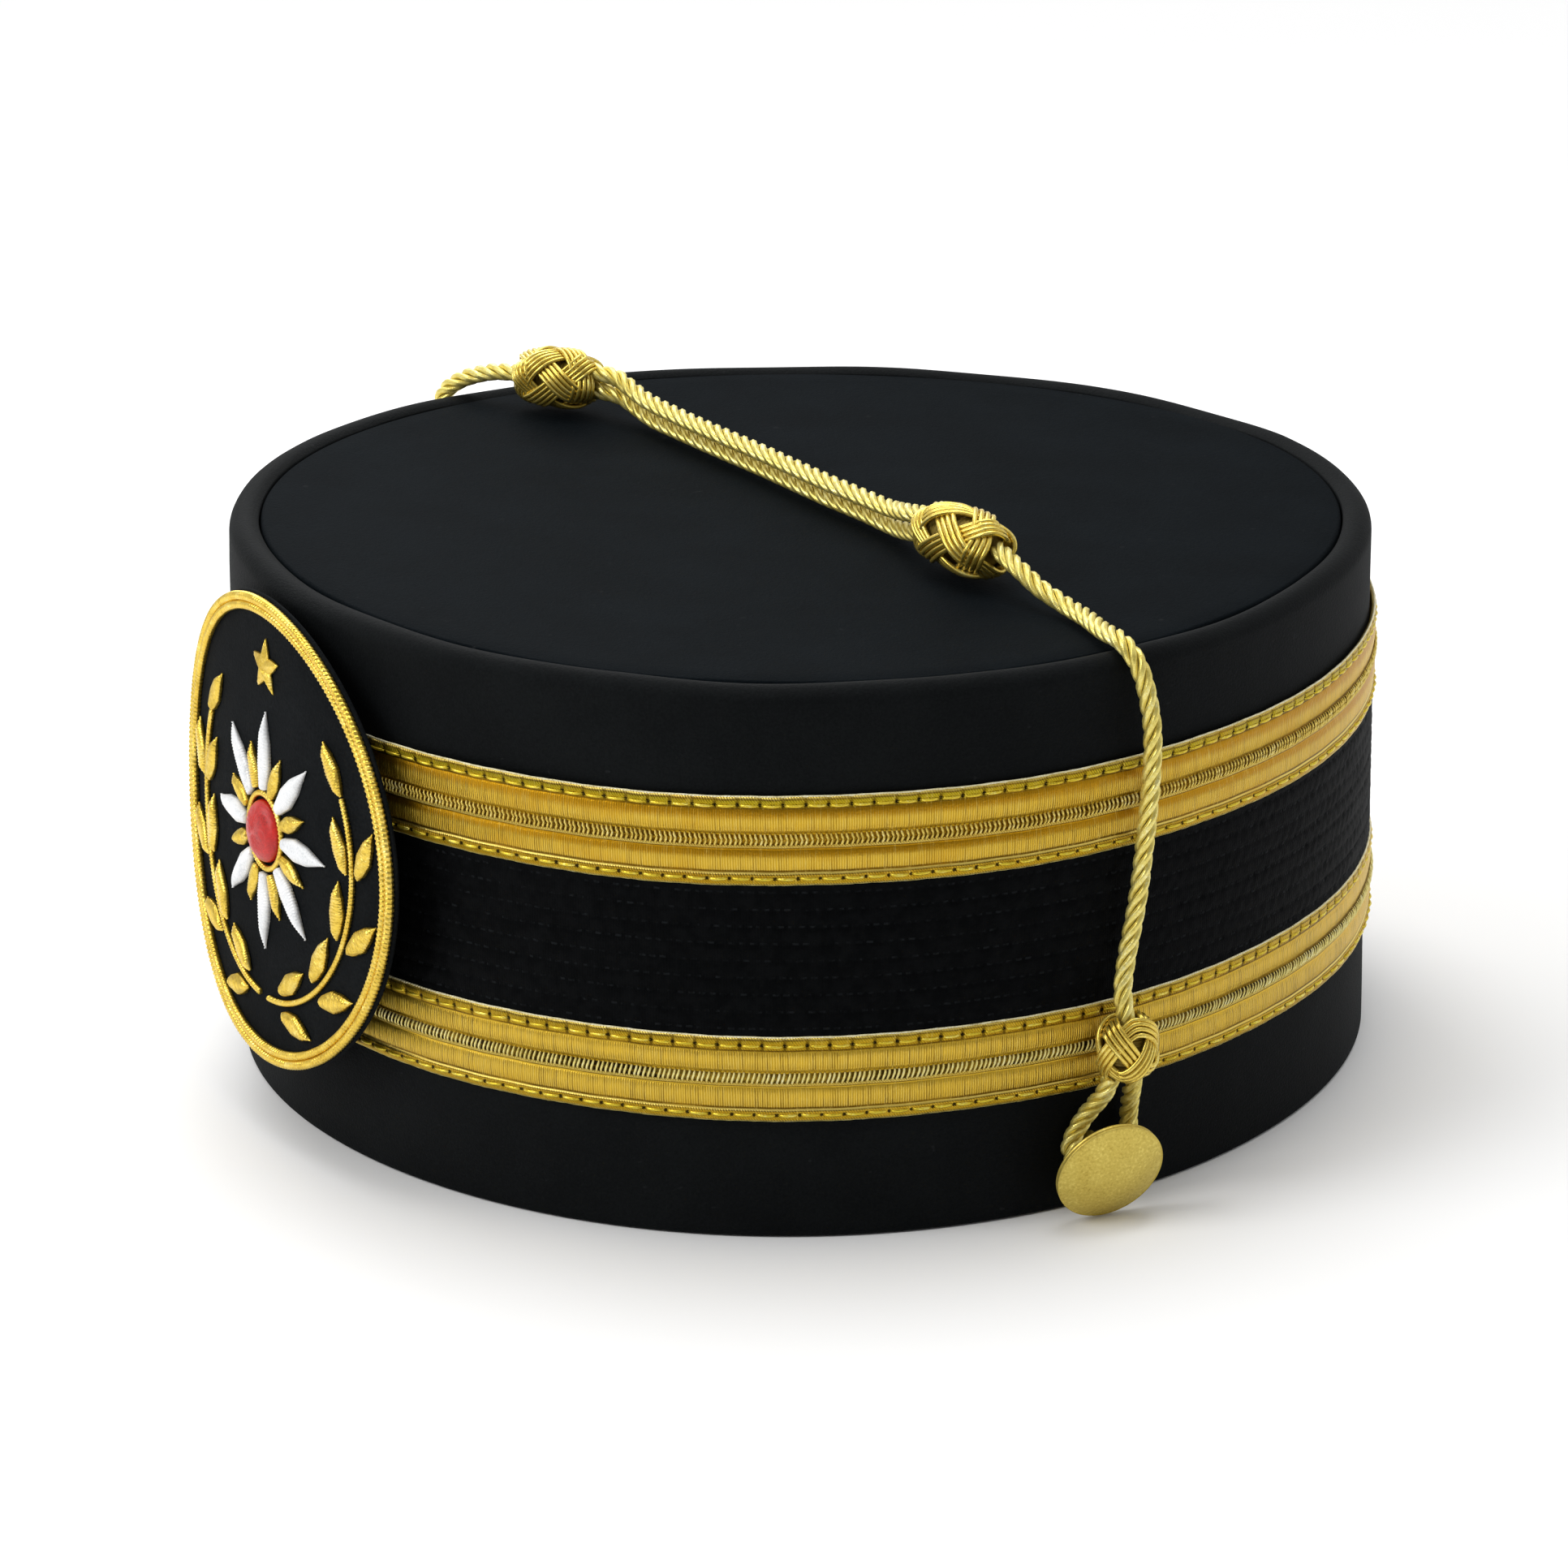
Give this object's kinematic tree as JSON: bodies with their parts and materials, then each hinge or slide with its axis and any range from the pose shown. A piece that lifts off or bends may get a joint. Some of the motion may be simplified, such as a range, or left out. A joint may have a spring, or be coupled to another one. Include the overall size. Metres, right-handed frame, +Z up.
{
  "type": "masonic cap",
  "caption": "Stiff round black cloth cap with gold lace bands, a quilted band, an embroidered front badge and a knotted gold cord over the top between gilt buttons.",
  "frame": {"origin": "Centre of the cap's box at the plane that the rim rests on, measured without the cord and its knots.", "axes": "+Z up, -Y to the front where the badge is, +X to the wearer's left, the side of the nearer button in the picture."},
  "size_m": [0.213, 0.2022, 0.102],
  "materials": {
    "cloth": "matt fine wool cloth, blue-black",
    "quilt": "black ribbon quilted in rows",
    "lace": "woven gold lace with ribs and stitched edges",
    "badge_cloth": "matt black felt",
    "gold_wire": "gold bullion wire embroidery",
    "silver_thread": "silver white satin stitch",
    "red_silk": "red satin stitch",
    "cord": "twisted pale gold metal-thread cord",
    "gilt": "matt pale gilt"
  },
  "bodies": {
    "root": {"crown_side": "cloth", "top_disc": "cloth", "quilted_band": "quilt", "lower_lace": "lace", "upper_lace": "lace", "badge_base": "badge_cloth", "badge_border_outer": "gold_wire", "badge_border_inner": "gold_wire", "badge_boss_ring": "gold_wire", "badge_star": "gold_wire", "left_stem": "gold_wire", "right_stem": "gold_wire", "gold_ray_1": "gold_wire", "gold_ray_2": "gold_wire", "gold_ray_3": "gold_wire", "gold_ray_4": "gold_wire", "gold_ray_5": "gold_wire", "gold_ray_6": "gold_wire", "gold_ray_7": "gold_wire", "gold_ray_8": "gold_wire", "left_leaf_1": "gold_wire", "left_leaf_2": "gold_wire", "left_leaf_3": "gold_wire", "left_leaf_4": "gold_wire", "left_leaf_5": "gold_wire", "left_leaf_6": "gold_wire", "left_leaf_7": "gold_wire", "left_leaf_8": "gold_wire", "left_leaf_9": "gold_wire", "right_leaf_1": "gold_wire", "right_leaf_2": "gold_wire", "right_leaf_3": "gold_wire", "right_leaf_4": "gold_wire", "right_leaf_5": "gold_wire", "right_leaf_6": "gold_wire", "right_leaf_7": "gold_wire", "right_leaf_8": "gold_wire", "right_leaf_9": "gold_wire", "silver_ray_1": "silver_thread", "silver_ray_2": "silver_thread", "silver_ray_3": "silver_thread", "silver_ray_4": "silver_thread", "silver_ray_5": "silver_thread", "silver_ray_6": "silver_thread", "silver_ray_7": "silver_thread", "silver_ray_8": "silver_thread", "badge_boss": "red_silk", "left_cord": "cord", "upper_cord": "cord", "lower_cord": "cord", "right_cord": "cord", "left_loop": "cord", "right_loop": "cord", "near_top_knot": "cord", "far_top_knot": "cord", "left_side_knot": "cord", "right_side_knot": "cord", "left_button": "gilt", "right_button": "gilt"}
  },
  "joints": []
}
